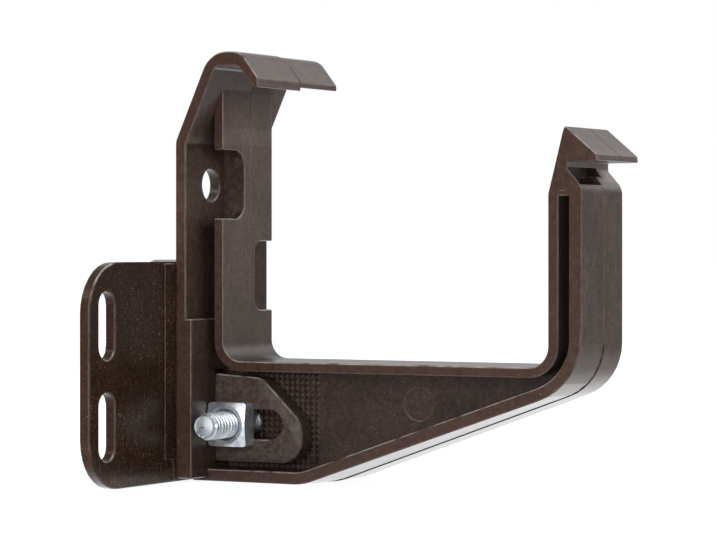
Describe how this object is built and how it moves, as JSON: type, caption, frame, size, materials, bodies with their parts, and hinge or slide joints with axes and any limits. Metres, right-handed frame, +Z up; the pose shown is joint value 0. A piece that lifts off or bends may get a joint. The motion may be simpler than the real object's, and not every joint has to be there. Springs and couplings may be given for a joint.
{
  "type": "gutter bracket",
  "caption": "Adjustable wall bracket that carries a small box gutter between a rear hook and a snap-in front clip, on a toothed slide clamped by a screw and square nut.",
  "frame": {"origin": "midway between the two slots of the fixing plate, on the face that lies against the wall", "axes": "+X away from the wall, Y along the gutter, +Z up"},
  "size_m": [0.0833, 0.0568, 0.078],
  "materials": {
    "plate_plastic": "dark brown moulded plastic, glossy, with fine pale dust",
    "cradle_plastic": "dark brown moulded plastic, glossy, with fine pale dust",
    "screw_zinc": "bright zinc plating",
    "nut_zinc": "bright zinc plating"
  },
  "bodies": {
    "plate": {"fixing_plate": "plate_plastic"},
    "cradle": {"cradle": "cradle_plastic", "clamp_screw": "screw_zinc", "square_nut": "nut_zinc"}
  },
  "joints": [
    {"name": "cradle_slide", "type": "slide", "parent": "plate", "child": "cradle", "axis": [1, 0, 0], "range_m": [0, 0.0072]}
  ]
}
